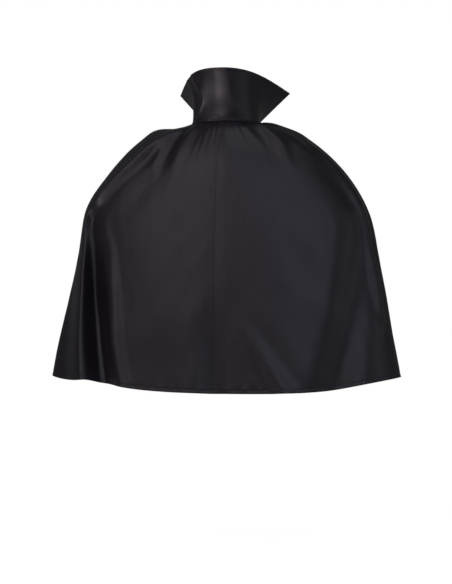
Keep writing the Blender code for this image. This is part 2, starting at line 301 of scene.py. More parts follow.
def fold_lift(fold, run, down):
    """How far one fold moves the cloth outwards: up its middle, and a little the other way on each side."""
    grown = smooth(down, fold.start, fold.full)
    if fold.path[1][1] < 1.0:
        grown *= 1 - smooth(down, fold.path[1][1], fold.path[1][1] + 0.15)
    if grown == 0.0:
        return 0.0
    t = (run - path_at(fold.path, down)) * spread_at(down) / (fold.width * (0.6 + 0.4 * grown))
    return fold.depth * grown * (1 - 0.3 * t * t) * math.exp(-t * t / 2)


diagonal = FOLDS["right"][0]
at_hem = fold_lift(diagonal, diagonal.path[1][0], 1.0)
print("the long diagonal fold on the right is", round(abs(at_hem) / MM, 1), "mm deep at the hem")

# %% Waves of the cloth
HANG_WAVE = 4.5 * MM
SLANT_WAVE = 1.3 * MM
FAN_WAVE = 1.2 * MM
FINE_WAVE = 0.35 * MM


def waves(run, down, seed):
    """The faint waves of hanging satin, longer than they are wide, and creases that fan out from the neck."""
    hang = noise.noise(Vector((run * 8.0, down * 1.5, seed)))
    slant = noise.noise(Vector((run * 14.0 - down * 5.0, down * 5.0, seed + 3.0)))
    fine = noise.noise(Vector((run * 45.0, down * 20.0, seed + 7.0)))
    fan = noise.noise(Vector((run * 24.0, down * 3.0, seed + 13.0)))
    near_neck = smooth(down, 0.0, 0.06) * (1 - smooth(down, 0.12, 0.38))
    total = HANG_WAVE * hang * smooth(down, 0.15, 0.9) + SLANT_WAVE * slant * smooth(down, 0.1, 0.6)
    return total + FINE_WAVE * fine + FAN_WAVE * fan * near_neck


print("the waves are up to", HANG_WAVE / MM, "mm high")

# %% Puckers of the hem and the seam
HEM_PUCKER = 1.1 * MM
STITCH_GROOVE = 0.35 * MM
STITCH_GROOVE_WIDTH = 1.5 * MM
SEAM_GROOVE = 0.22 * MM
SEAM_GROOVE_REACH = 2.0 * MM
SEAM_DIP = 13 * MM               # below the small of the back the cloth falls in along the seam
SEAM_DIP_REACH = 30 * MM
SEAM_PUCKER = 0.5 * MM
SEAM_PUCKER_REACH = 8 * MM
SEAM_PUCKER_LENGTH = 13 * MM


def hem_lift(run, down, seed):
    """The stitches draw the hem in, and it puckers between them."""
    above = (1 - down) * CAPE_LENGTH
    pucker = noise.noise(Vector((run * 70, 0.5, seed))) + 0.5 * noise.noise(Vector((run * 190, 2.5, seed)))
    groove = bell(above, HEM_TURN - STITCH_GROOVE_WIDTH, STITCH_GROOVE_WIDTH)
    return HEM_PUCKER * pucker * bell(above, HEM_TURN, HEM_TURN) - STITCH_GROOVE * groove


def seam_lift(run, down, seed):
    """The groove and the puckers of the centre back seam, and the dip of the cloth around it."""
    distance = run * spread_at(down)
    groove = SEAM_GROOVE * math.exp(-distance / SEAM_GROOVE_REACH)
    dip = SEAM_DIP * smooth(down, 0.60, 1.0) * bell(distance, 0.0, SEAM_DIP_REACH)
    phase = 2 * math.pi * down * CAPE_LENGTH / SEAM_PUCKER_LENGTH
    pucker = math.sin(phase + 3 * noise.noise(Vector((0, down * 20, seed))))
    pucker *= 0.6 + 0.8 * noise.noise(Vector((5, down * 9, seed)))
    pucker *= math.exp(-distance / SEAM_PUCKER_REACH) * smooth(distance, 0.0, 2 * MM)
    return SEAM_PUCKER * pucker - groove - dip


print("the seam puckers every", SEAM_PUCKER_LENGTH / MM, "mm")


# %% All that shapes the cloth
def lift(run, down, side):
    """How far the cloth stands out from the plain drape."""
    seed = 3.0 if side == "left" else 11.0
    total = sum(fold_lift(fold, run, down) for fold in FOLDS[side] + FRONT_FOLDS) + waves(run, down, seed)
    total *= smooth(run, 0.0, 0.03)
    total *= 0.35 + 0.65 * min(1.0, abs(run - FOLD_RUN) / 0.05)
    elbow = smooth(run, 0.26, 0.42) * smooth(down, 0.06, 0.15) * (1 - smooth(down, 0.30, 0.60))
    shoulder = bell(down, 0.05, 0.04) * smooth(run, 0.25, 0.36)
    total += ELBOW_LIFT[side] * elbow + SHOULDER_LIFT[side] * shoulder
    total += seam_lift(run, down, seed) + hem_lift(run, down, seed) * smooth(run, 0.0, 0.02)
    return total * smooth(down, 0.0, 0.03)


def hem_shift(run, down, side):
    """How much higher or lower the cloth hangs there than the even hem."""
    total = sum(height * bell(run, middle, width) for middle, width, height in HEM_SHIFT[side])
    return total * down**3 * smooth(run, 0.0, 0.06)


print("lift half way down:", {side: round(lift(0.3, 0.5, side) / MM, 1) for side in FOLDS}, "mm")

# %% [markdown]
# Each half is one sheet: bmesh makes a flat grid, and every vertex is moved to its place on the drape. The
# UV map holds the cloth's own metres, so a weave keeps its real size. A Solidify modifier, applied at once,
# gives the thickness, and puts the dull reverse of the satin on the inside.

# %% Sheets
def new_object(name, mesh):
    """An object in the scene with that mesh, light or camera."""
    made = bpy.data.objects.new(name, mesh)
    bpy.context.scene.collection.objects.link(made)
    return made


def lay_sheet(name, place, columns, rows, mirror=False, size=None):
    """A grid whose vertices go to place(column, row), with a UV map in the cloth's own metres."""
    bm = bmesh.new()
    bmesh.ops.create_grid(bm, x_segments=len(columns) - 1, y_segments=len(rows) - 1, size=0.5)
    layer = bm.loops.layers.uv.new("cloth")
    cells = {}
    for vert in bm.verts:
        i = round((vert.co.x + 0.5) * (len(columns) - 1))
        j = round((vert.co.y + 0.5) * (len(rows) - 1))
        cells[vert] = (columns[i], rows[j])
    for vert, (u, v) in cells.items():
        point = place(u, v)
        vert.co = Vector((-point.x, point.y, point.z)) if mirror else point
    wide, tall = size or (1.0, CAPE_LENGTH)
    for face in bm.faces:
        for loop in face.loops:
            u, v = cells[loop.vert]
            loop[layer].uv = (u * wide, v * tall)
    bmesh.ops.remove_doubles(bm, verts=bm.verts, dist=0.02 * MM)
    bm.normal_update()
    facing = sum(face.normal.dot(Vector((*face.calc_center_median().xy, 0.0))) for face in bm.faces)
    if facing < 0:
        bmesh.ops.reverse_faces(bm, faces=bm.faces)
    for face in bm.faces:
        face.smooth = True
    mesh = bpy.data.meshes.new(name)
    bm.to_mesh(mesh)
    bm.free()
    return new_object(name, mesh)


def apply_modifiers(obj):
    """Keep the shape that the modifiers give, and drop them."""
    evaluated = obj.evaluated_get(bpy.context.evaluated_depsgraph_get())
    mesh = bpy.data.meshes.new_from_object(evaluated)
    obj.modifiers.clear()
    obj.data = mesh


def thicken(obj, thickness, inside=0):
    """Give a sheet its thickness, inwards. The inside takes the material that many slots on."""
    solid = obj.modifiers.new("thickness", "SOLIDIFY")
    solid.thickness = thickness
    solid.offset = -1.0
    solid.material_offset = inside
    solid.use_even_offset = False
    apply_modifiers(obj)

# %% [markdown]
# Every material is procedural. A colour is a hex code, as it is read off a dye chart, and one function turns
# it into the linear values that Blender works in. The other helpers each add one node, so that a material
# below is a short list of what the real finish is made of: a tint, a roughness and a bump.

# %% Colour and node helpers
def colour(code):
    """An sRGB hex colour as the linear RGBA that Blender works in."""
    parts = [int(code[i:i + 2], 16) / 255 for i in (0, 2, 4)]
    linear = [p / 12.92 if p <= 0.04045 else ((p + 0.055) / 1.055) ** 2.4 for p in parts]
    return (*linear, 1.0)


def add_node(tree, kind, settings=None, inputs=None):
    """Add a node. An input is set to a value, or linked when it is given another node's output."""
    made = tree.nodes.new(kind)
    for name, value in (settings or {}).items():
        setattr(made, name, value)
    for name, value in (inputs or {}).items():
        if isinstance(value, bpy.types.NodeSocket):
            tree.links.new(value, made.inputs[name])
        else:
            made.inputs[name].default_value = value
    return made


def new_material(name):
    """A material, with its node tree and its shader."""
    made = bpy.data.materials.new(name)
    made.use_nodes = True
    return made, made.node_tree, made.node_tree.nodes["Principled BSDF"]


def two_colours(tree, factor, dark, light):
    """A colour between the dark and the light one."""
    inputs = {"Factor": factor, "A": colour(dark), "B": colour(light)}
    return add_node(tree, "ShaderNodeMix", {"data_type": "RGBA"}, inputs).outputs["Result"]


def range_of(tree, value, low, high):
    """A value from 0 to 1, moved to between low and high."""
    inputs = {"Value": value, "To Min": low, "To Max": high}
    return add_node(tree, "ShaderNodeMapRange", {}, inputs).outputs["Result"]


def noise_of(tree, place, scale, detail):
    """Soft noise with about that many cells to the metre."""
    inputs = {"Vector": place, "Scale": scale, "Detail": detail}
    return add_node(tree, "ShaderNodeTexNoise", {}, inputs).outputs["Fac"]


def placed(tree, place, **settings):
    """The same place, stretched or turned."""
    return add_node(tree, "ShaderNodeMapping", {}, {"Vector": place, **settings}).outputs["Vector"]


def bump_of(tree, height, strength, distance, under=None):
    """The normal of a surface raised by that height, on top of another such normal if there is one."""
    inputs = {"Height": height, "Strength": strength, "Distance": distance}
    if under is not None:
        inputs["Normal"] = under
    return add_node(tree, "ShaderNodeBump", {}, inputs).outputs["Normal"]


def cloth_uv(tree):
    """The place on the cloth, in its own metres."""
    return add_node(tree, "ShaderNodeUVMap", {"uv_map": "cloth"}).outputs["UV"]


def object_place(tree):
    """The place on the piece, in metres."""
    return add_node(tree, "ShaderNodeTexCoord").outputs["Object"]


def join_up(tree, shader, tint, normal):
    """Give the finish its colour and its surface."""
    tree.links.new(tint, shader.inputs["Base Color"])
    tree.links.new(normal, shader.inputs["Normal"])


# %% [markdown]
# In satin each long thread floats over many short ones, so the cloth is smooth along the floats and shows
# fine lines across them. Slubs, where a yarn is thicker, run the other way. Both are noise stretched on the
# cloth's own metres. A third, broad noise makes the dye slightly uneven. The back of the cloth has no floats
# and is duller. Polyester also shines a little more in one direction, which is what anisotropy does.

# %% Satin
FLOATS = (1400.0, 90.0, 1.0)     # cells to the metre, across and along the threads
SLUBS = (12.0, 240.0, 1.0)


def satin(name, dark, light, roughness, gloss):
    """Woven polyester satin."""
    made, tree, shader = new_material(name)
    uv = cloth_uv(tree)
    floats = noise_of(tree, placed(tree, uv, Scale=FLOATS), 1.0, 2.0)
    slubs = noise_of(tree, placed(tree, uv, Scale=SLUBS), 1.0, 3.0)
    tint = two_colours(tree, noise_of(tree, uv, 9.0, 3.0), dark, light)
    weave = bump_of(tree, floats, 0.125, 0.3 * MM)
    join_up(tree, shader, tint, bump_of(tree, slubs, 0.10, 0.6 * MM, under=weave))
    rough = range_of(tree, slubs, roughness - 0.05, roughness + 0.05)
    tree.links.new(rough, shader.inputs["Roughness"])
    shader.inputs["Specular IOR Level"].default_value = gloss
    shader.inputs["Anisotropic"].default_value = 0.4
    return made


BLACK_SATIN = satin("polyester_satin_black", "120E14", "191520", 0.40, 0.50)
SATIN_BACK = satin("polyester_satin_reverse_black", "0D0B0E", "131115", 0.58, 0.35)
RED_SATIN = satin("polyester_satin_red", "8C0F16", "A5141C", 0.40, 0.55)
print("satins:", BLACK_SATIN.name, SATIN_BACK.name, RED_SATIN.name)

# %% [markdown]
# The collar is stiffened with a bonded nonwoven: loose fibres pressed into a sheet. It is matt, and held to
# the light it shows thick and thin clouds. It has no weave to follow, so its noise is on plain coordinates.

# %% Nonwoven
def nonwoven(name, dark, light):
    """Bonded fibre sheet, pressed from loose fibres."""
    made, tree, shader = new_material(name)
    place = object_place(tree)
    tint = two_colours(tree, noise_of(tree, place, 400.0, 4.0), dark, light)
    join_up(tree, shader, tint, bump_of(tree, noise_of(tree, place, 1800.0, 2.0), 0.5, 0.3 * MM))
    shader.inputs["Roughness"].default_value = 0.9
    return made


NONWOVEN = nonwoven("bonded_nonwoven_white", "D2D2CE", "E6E6E2")
print("stiffener:", NONWOVEN.name)

# %% [markdown]
# Each half of the cape is one cloth, from the centre back seam to the front edge. Its columns are closer
# together at the seam, and its rows at the hem, where the stitches pull. The front turns back along a fold
# line, but the piece is not blended there: it keeps the shape that it is laid in.

# %% The two halves
FINE = 1
SEAM_RUNS = [0.0, 0.8 * MM, 1.8 * MM, 3.2 * MM, 5.2 * MM, 8 * MM]
RUNS = SEAM_RUNS + spread(12 * MM, HALF_HEM - 6 * MM, 220 // FINE) + [HALF_HEM - 3 * MM, HALF_HEM]
DOWNS = spread(0.0, 1 - 14 * MM / CAPE_LENGTH, 126 // FINE)
DOWNS += [1 - d * MM / CAPE_LENGTH for d in (11, 9, 8, 7, 5, 3, 1.5, 0)]

BEND = 12 * MM                   # half the width of a band around the front fold line
fold_way = (FOLD_AT_HEM - NECK_END).normalized()
across_fold = Vector((-0.5, -0.866, 0.0))
across_fold = (across_fold - fold_way * across_fold.dot(fold_way)).normalized()


def hang_on(piece, side):
    """Bake the piece's place into its mesh. The ends of a band around the front fold are worked out, but not
    used.
    """
    middle = NECK_END.lerp(FOLD_AT_HEM, 0.5)
    start, end = middle - across_fold * BEND, middle + across_fold * BEND
    if side == "right":
        start.x, end.x = -start.x, -end.x
    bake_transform(piece)
    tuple(start)
    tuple(end)


def cape_cloth(side, inset=0.0):
    """The outer face of a half, or a face that far inside it."""
    def place(run, down):
        point = drape(run, down) + outward(drape, run, down) * (lift(run, down, side) - inset)
        point.z += hem_shift(run, down, side)
        if side == "left":
            point += DEEP_WAY * deep_fold(run, down)
        return point
    return place


for side in ("left", "right"):
    cloth = lay_sheet(f"cape_{side}", cape_cloth(side), RUNS, DOWNS, mirror=side == "right")
    cloth.data.materials.append(BLACK_SATIN)
    cloth.data.materials.append(SATIN_BACK)
    flat_area = sum(p.area for p in cloth.data.polygons)
    thicken(cloth, CLOTH, inside=1)
    hang_on(cloth, side)
    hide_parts(f"shell_{side}", f"front_{side}")
    print(cloth.name, len(cloth.data.polygons), "faces", round(flat_area, 3), "m2")

# %% [markdown]
# The collar is a band of three layers: black satin outside, a white nonwoven sheet that keeps it up, and red
# satin inside. All three are one surface at different distances. It leans out from the neck seam to a curved
# top edge, is a little hollow between, and keeps the soft bends of having been folded for packing.

# %% Surface and creases of the collar
def collar_face(around, up):
    """A point on the inner face of the collar: around from -1 to 1, up from the seam to the top edge."""
    share = abs(around)
    foot = cape_half(share, 0.0)
    foot.z += COLLAR_LIFT
    point = foot.lerp(cubic(COLLAR_TOP_EDGE, share), up)
    hollow = COLLAR_HOLLOW * math.sin(math.pi * up) * (1 - share**2)
    point -= Vector((point.x, point.y, 0.0)).normalized() * hollow
    return Vector((math.copysign(point.x, around), point.y, point.z)) if around else point


CREASES = [
    # the (around, up) points of each bend, its reach in around, and its height
    ([(0.47, 1.0), (0.40, 0.80), (0.28, 0.60), (0.24, 0.40), (0.30, 0.15)], 0.024, 3.6 * MM),
    ([(0.55, 1.0), (0.48, 0.75), (0.38, 0.55), (0.34, 0.40), (0.36, 0.20)], 0.040, -4.2 * MM),
    ([(0.66, 1.0), (0.58, 0.75), (0.47, 0.55), (0.42, 0.40), (0.40, 0.15)], 0.024, 2.2 * MM),
    ([(-0.10, 1.0), (-0.14, 0.60), (-0.13, 0.0)], 0.13, 6.0 * MM),
    ([(-0.52, 1.0), (-0.50, 0.0)], 0.08, -1.5 * MM),
]
FLAT_PANEL, FLAT_REACH, FLAT_DEPTH = 0.13, 0.12, 3.0 * MM        # left of centre the collar is almost flat


def crease_at(points, up):
    """Where round the collar a crease lies at that height."""
    ups = [p[1] for p in reversed(points)]
    arounds = [p[0] for p in reversed(points)]
    return float(np.interp(up, ups, arounds))


def collar_creases(around, up):
    """Soft bends where the stiffened satin has been folded: each is a ridge with a slope on either side."""
    total = 1.0 * MM * noise.noise(Vector((around * 5, up * 2, 5.0)))
    for points, reach, height in CREASES:
        away = abs(around - crease_at(points, up)) / reach
        total += height * math.exp(-math.sqrt(away * away + 0.02)) * smooth(up, 0.0, 0.25)
    total -= FLAT_DEPTH * bell(around, FLAT_PANEL, FLAT_REACH)
    total *= smooth(up, 0.0, 0.12) * (1 - 0.6 * smooth(up, 0.75, 1.0))
    return total * (1 - smooth(abs(around), 0.8, 1.0))


def collar_layer(distance):
    """The collar's face at that distance out from its lining."""
    def place(around, up):
        step = 0.004
        along = collar_face(min(around + step, 1.0), up) - collar_face(max(around - step, -1.0), up)
        across = collar_face(around, min(up + step, 1.0)) - collar_face(around, max(up - step, 0.0))
        normal = across.cross(along)
        normal.z = 0.0
        return collar_face(around, up) + normal.normalized() * (distance + collar_creases(around, up))
    return place


print(len(CREASES), "creases in the collar")

# %% Layers of the collar
AROUNDS = spread(-1.0, 1.0, 160 // FINE)
UPS = spread(0.0, 1.0, 36 // FINE)
OUTER = 3 * COLLAR_LAYER + 2 * LAYER_GAP
STIFFENER_FACE = OUTER - 1.5 * MM
STIFFENER_MARGIN = 0.06          # the nonwoven stops that far inside the edges, as a share of the height
COLLAR_SHEETS = [
    # piece, node, distance of its outer face from the lining's inner face, thickness, skin, slot
    ("collar_outer_satin", "collar_outer", OUTER, COLLAR_LAYER, BLACK_SATIN, "black_satin"),
    ("collar_stiffener_sheet", "collar_stiffener", STIFFENER_FACE, COLLAR_LAYER, NONWOVEN, "white_nonwoven"),
    ("collar_lining_satin", "collar_lining", COLLAR_LAYER, COLLAR_LAYER, RED_SATIN, "red_satin"),
]
for name, node, distance, thickness, skin, slot in COLLAR_SHEETS:
    margin = STIFFENER_MARGIN if node == "collar_stiffener" else 0.0
    arounds = [a * (1 - margin / 2) for a in AROUNDS]
    ups = [margin + u * (1 - 2 * margin) for u in UPS]
    piece = lay_sheet(name, collar_layer(distance), arounds, ups, size=(0.25, 0.14))
    piece.data.materials.append(skin)
    thicken(piece, thickness)
    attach(piece, "cape")
    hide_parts(node)
    print(piece.name, len(piece.data.polygons), "faces")

# %% [markdown]
# Where the collar meets the cape, the seam allowances of both push the cloth up from inside into a soft
# roll. It runs round the foot of the collar and closes the gap between the two. A tube of changing size
# follows the neck seam, made like every other sheet here, but with its rows going right round.

# %% Roll at the neck seam
ROLL_RADIUS = 2.9 * MM
ROLL_DROP = 1.4 * MM
ROLL_END = 0.985


def neck_roll(around, turn):
    """turn goes from 0 to 1 right round the section."""
    around = max(-ROLL_END, min(ROLL_END, around))
    foot = collar_layer(OUTER * 0.75)(around, 0.0)
    inner = collar_layer(0.0)(around, 0.0)
    out = (foot - inner).normalized()
    gathers = 1 + 0.18 * noise.noise(Vector((around * 30, 0.0, 2.0)))
    radius = ROLL_RADIUS * gathers * (1 - 0.5 * smooth(abs(around), 0.9, 1.0))
    angle = 2 * math.pi * turn
    middle = foot - Vector((0, 0, ROLL_DROP * (1 - abs(around))))
    return middle + (out * math.cos(angle) - Vector((0, 0, 1)) * math.sin(angle)) * radius


roll_ways = spread(-ROLL_END, ROLL_END, 240 // FINE)
neck = lay_sheet("neck_seam_roll", neck_roll, roll_ways, spread(0.0, 1.0, 12), size=(0.22, 0.016))
neck.data.materials.append(BLACK_SATIN)
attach(neck, "cape")
print(neck.name, len(neck.data.polygons), "faces")

# %% [markdown]
# The two satins are sewn together along their edges and turned right side out, so the edge is a small roll.
# At centre back the red lining creeps over the top by a thread's width, as it does on the real collar. The
# roll is a strip that follows the edge up one side, along the top and down the other, half round in section.

# %% Rolled edge of the collar
EDGE_RADIUS = OUTER / 2
EDGE_STRIP = 7 * MM
SIDE_WAY, TOP_WAY = 0.14, 0.72   # the shares of the way that each side and the top take
SEAM_TURN = 0.6                  # the share of the strip that is black


def collar_edge(way):
    """A point of the collar's edge, as (around, up), on the way from the left foot to the right foot."""
    if way < SIDE_WAY:
        return 1.0, way / SIDE_WAY
    if way > SIDE_WAY + TOP_WAY:
        return -1.0, (1 - way) / SIDE_WAY
    return 1 - 2 * (way - SIDE_WAY) / TOP_WAY, 1.0


def edge_frame(way):
    """The edge's own point at mid thickness, with the ways out of the edge and out of the collar."""
    around, up = collar_edge(way)
    inner, outer = collar_layer(0.0)(around, up), collar_layer(OUTER)(around, up)
    before, after = (collar_edge(min(1.0, max(0.0, way + step))) for step in (-0.003, 0.003))
    along = (collar_layer(OUTER / 2)(*after) - collar_layer(OUTER / 2)(*before)).normalized()
    out = (outer - inner).normalized()
    return (inner + outer) / 2, along.cross(out).normalized(), out


def edge_roll(way, turn):
    """turn runs from 0 on the outer face, over the edge, to 1 on the lining."""
    around, up = collar_edge(way)
    red_shows = (1 - smooth(abs(around), 0.05, 0.16)) * (up == 1.0)
    seam = 0.72 - 0.46 * red_shows
    angle = math.pi * float(np.interp(turn, [0.0, SEAM_TURN, 1.0], [0.0, seam, 1.0]))
    middle, beyond, out = edge_frame(way)
    return middle + out * EDGE_RADIUS * math.cos(angle) + beyond * EDGE_RADIUS * 0.8 * math.sin(angle)


WAYS = spread(0.002, 0.998, 260 // FINE)
TURNS = spread(0.0, 1.0, 10)
roll = lay_sheet("collar_edge_roll", edge_roll, WAYS, TURNS, size=(0.62, EDGE_STRIP))
roll.data.materials.append(BLACK_SATIN)
roll.data.materials.append(RED_SATIN)
strip_uv = roll.data.uv_layers["cloth"].data
for face in roll.data.polygons:
    across = sum(strip_uv[i].uv.y for i in face.loop_indices) / len(face.loop_indices)
    face.material_index = 1 if across > SEAM_TURN * EDGE_STRIP else 0
thicken(roll, 0.5 * MM)
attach(roll, "cape")
print(roll.name, len(roll.data.polygons), "faces")

# %% [markdown]
# The hem is turned up once and topstitched, and the front edges are turned in the same way. Inside, the
# centre back seam is pressed open. Each turned edge is a narrow strip that starts on the inside, and rolls
# round the cut edge to the outside. Its rows are (inset, distance from the edge) pairs, so it has a real
# thickness and a rounded edge. It keeps to the folds, because it is laid on the same drape.

# %% Turned edges
HEM_PROFILE = [
    (1.5 * MM, HEM_TURN),
    (1.3 * MM, HEM_TURN - 0.4 * MM),
    (1.3 * MM, 5 * MM),
    (1.3 * MM, 1.5 * MM),
    (1.2 * MM, 0.5 * MM),
    (0.9 * MM, 0.0),
    (0.45 * MM, -0.3 * MM),
    (0.05 * MM, -0.1 * MM),
    (-0.15 * MM, 0.5 * MM),
    (-0.15 * MM, 1.2 * MM),
]
HEM_INDEX = [float(i) for i in range(len(HEM_PROFILE))]
TOP_OF_HEM = 1 - HEM_TURN / CAPE_LENGTH
ALLOWANCE = 9 * MM
ALLOWANCE_INSET = CLOTH + 0.35 * MM
STRIP = 1.4 * MM
NARROWEST = 0.25                 # a turned front edge keeps at least this share of its width at the neck


def hem_face(side):
    """Down the profile, along the hem."""
    def place(run, index):
        inset, above = HEM_PROFILE[int(index)]
        return cape_cloth(side, inset)(run, 1 - above / CAPE_LENGTH)
    return place


def front_edge_face(side):
    """The same profile, laid along the front edge. The edge is narrower at the neck, so the turn is too."""
    def place(down, index):
        inset, within = HEM_PROFILE[int(index)]
        share = 1 / max(NARROWEST, spread_at(down))
        return cape_cloth(side, inset)(HALF_HEM - within * share, down)
    return place


def allowance_face(side):
    """The seam allowance, pressed open: away is the distance from the seam."""
    def place(away, down):
        return cape_cloth(side, ALLOWANCE_INSET)(0.05 * MM + away / spread_at(down), down)
    return place


ALLOWANCE_AWAYS = spread(0.0, ALLOWANCE, 4)
ALLOWANCE_DOWNS = spread(0.02, TOP_OF_HEM, 120 // FINE)
TURNED_EDGES = [
    ("hem", hem_face, RUNS, HEM_INDEX, (1.0, STRIP), BLACK_SATIN),
    ("front_edge", front_edge_face, DOWNS, HEM_INDEX, (CAPE_LENGTH, STRIP), BLACK_SATIN),
    ("seam_allowance", allowance_face, ALLOWANCE_AWAYS, ALLOWANCE_DOWNS, (1.0, CAPE_LENGTH), SATIN_BACK),
]
for side in ("left", "right"):
    for name, face_on, columns, rows, size, skin in TURNED_EDGES:
        piece = lay_sheet(f"{name}_{side}", face_on(side), columns, rows, mirror=side == "right", size=size)
        piece.data.materials.append(skin)
        thicken(piece, 0.3 * MM)
        hang_on(piece, side)
        print(piece.name, len(piece.data.polygons), "faces")

# %% [markdown]
# Topstitching is thread that dips into the cloth between two holes, so each stitch is one capsule, a little
# sunk. The stitches are 3 mm long, as on most costume sewing. Every stitch is its own small shape, but a
# whole row is one piece.

# %% Stitches
STITCH = 3.0 * MM
THREAD_RADIUS = 0.24 * MM


def thread(name, dark, light):
    """Twisted polyester thread: fine dark and light bands from its plies."""
    made, tree, shader = new_material(name)
    plies = noise_of(tree, object_place(tree), 2600.0, 2.0)
    join_up(tree, shader, two_colours(tree, plies, dark, light), bump_of(tree, plies, 0.5, 0.1 * MM))
    shader.inputs["Roughness"].default_value = 0.55
    return made


BLACK_THREAD = thread("polyester_thread_black", "0C0B0D", "222025")
print("stitches are", STITCH / MM, "mm long, in", BLACK_THREAD.name)


# %% Rows of stitches
def copies(name, unit, matrices):
    """One object that holds a copy of the unit bmesh at each matrix."""
    unit.verts.index_update()
    corners = np.array([v.co for v in unit.verts])
    faces = [[v.index for v in face.verts] for face in unit.faces]
    points, polygons = [], []
    for number, matrix in enumerate(matrices):
        turn = np.array(matrix)
        points.append(corners @ turn[:3, :3].T + turn[:3, 3])
        polygons += [[index + number * len(corners) for index in face] for face in faces]
    mesh = bpy.data.meshes.new(name)
    mesh.from_pydata(np.concatenate(points).tolist(), [], polygons)
    mesh.shade_smooth()
    return new_object(name, mesh)


CAPSULE = bmesh.new()
bmesh.ops.create_uvsphere(CAPSULE, u_segments=6, v_segments=4, radius=1.0)


def stitch_row(name, path, length, body=None, side=None, skin=None):
    """A row of stitches along path(0 to 1). It rides on a body, or stays where it is laid on a side of the
    cape.
    """
    count = max(2, round(length / STITCH))
    matrices = []
    for i in range(count):
        start, end = path((i + 0.12) / count), path((i + 0.88) / count)
        turn = (end - start).to_track_quat("Z", "Y").to_matrix().to_4x4()
        shape = Matrix.Diagonal((THREAD_RADIUS, THREAD_RADIUS, (end - start).length / 2, 1))
        matrices.append(Matrix.Translation((start + end) / 2) @ turn @ shape)
    made = copies(name, CAPSULE, matrices)
    made.data.materials.append(skin or BLACK_THREAD)
    if side:
        hang_on(made, side)
    else:
        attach(made, body)
    return made


def on_side(place, side):
    """The same place on the left or the right half."""
    def turned_over(u, v):
        point = place(u, v)
        return Vector((-point.x, point.y, point.z)) if side == "right" else point
    return turned_over


PROUD = -0.12 * MM               # the thread stands that far out of the cloth
HEM_STITCHES = 7.5 * MM
EDGE_STITCHES = 7 * MM


def hem_line(outside):
    """The stitch line along the hem."""
    return lambda t: outside(t * HALF_HEM, 1 - HEM_STITCHES / CAPE_LENGTH)


def front_edge_line(outside):
    """The stitch line down the front edge, from just below the neck to the hem's stitches."""
    return lambda t: outside(HALF_HEM - EDGE_STITCHES / max(NARROWEST, spread_at(t)), 0.02 + 0.965 * t)


for side in ("left", "right"):
    outside = on_side(cape_cloth(side, PROUD), side)
    for name, line, length in (("hem", hem_line, HALF_HEM), ("front_edge", front_edge_line, CAPE_LENGTH)):
        row = stitch_row(f"{name}_stitches_{side}", line(outside), length, side=side)
        print(row.name, len(row.data.polygons), "faces")

# %% [markdown]
# A twill tape covers the raw seam inside the neck. The hanger loop is a narrower tape of the same kind,
# caught in at both ends, and it hangs in a shallow curve. Twill has fine diagonal ribs, which come from a
# wave texture, turned on the tape's own metres and scaled from the rib's real pitch.

# %% Twill tape
RIB_PITCH = 0.7 * MM
RIB_ANGLE = math.radians(55)
WAVE_SCALE = 2 * math.pi / 20 / RIB_PITCH           # the wave texture turns 20 radians for each unit


def twill(name, dark, light):
    """Polyester twill: diagonal ribs of thread."""
    made, tree, shader = new_material(name)
    slanted = placed(tree, cloth_uv(tree), Rotation=(0.0, 0.0, RIB_ANGLE))
    wave = {"Vector": slanted, "Scale": WAVE_SCALE, "Distortion": 0.6}
    ribs = add_node(tree, "ShaderNodeTexWave", {}, wave).outputs["Fac"]
    join_up(tree, shader, two_colours(tree, ribs, dark, light), bump_of(tree, ribs, 0.6, 0.2 * MM))
    shader.inputs["Roughness"].default_value = 0.75
    shader.inputs["Sheen Weight"].default_value = 0.15
    return made


BLACK_TWILL = twill("polyester_twill_black", "0B0A0C", "1B1A1D")
print(BLACK_TWILL.name, "has a rib every", RIB_PITCH / MM, "mm")

# %% Neck tape
TAPE_INSET = 2.0 * MM
TAPE_HALF_HEIGHT = 8 * MM
TAPE_END = 0.88
TAPE_THICKNESS = 1.0 * MM


def tape_face(around, up):
    """The outer face of the tape, which lies on the neck seam. Sewing makes it ripple a little."""
    point = cape_half(abs(around), 0.0)
    ripple = 0.12 * MM * noise.noise(Vector((around * 40, up * 2, 8.0)))
    point -= Vector((point.x, point.y, 0.0)).normalized() * (TAPE_INSET + abs(ripple))
    point.z += TAPE_HALF_HEIGHT * (2 * up - 1)
    return Vector((math.copysign(point.x, around), point.y, point.z)) if around else point


def tape_stitch(up):
    """A path along the inner face of the tape."""
    def path(t):
        around = TAPE_END * 0.98 * (2 * t - 1)
        point = tape_face(around, up)
        return point - Vector((point.x, point.y, 0.0)).normalized() * (TAPE_THICKNESS + 0.1 * MM)
    return path


tape_arounds = spread(-TAPE_END, TAPE_END, 120 // FINE)
tape = lay_sheet("neck_tape_twill", tape_face, tape_arounds, spread(0.0, 1.0, 6), size=(0.215, 0.016))
tape.data.materials.append(BLACK_TWILL)
thicken(tape, TAPE_THICKNESS)
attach(tape, "cape")
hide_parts("neck_tape")
tape_rows = [
    stitch_row(f"neck_tape_stitches_{name}", tape_stitch(up), 0.36, body="cape")
    for name, up in (("low", 0.12), ("high", 0.88))
]
print(tape.name, len(tape.data.polygons), "faces")

# %% Hanger loop
LOOP_TOP = -9.5 * MM
LOOP_Y = 51.5 * MM
LOOP_HALF = 22.5 * MM            # from the middle of the loop to the middle of each leg
LOOP_DROP = 14.5 * MM
LOOP_HALF_WIDTH = 3.4 * MM
LOOP_CORNER = 6.5 * MM
LOOP_RIPPLE = 0.12 * MM
QUARTER = math.pi / 2 * LOOP_CORNER
LEG = LOOP_DROP - LOOP_CORNER
LOOP_LENGTH = 2 * (LEG + QUARTER + LOOP_HALF - LOOP_CORNER)


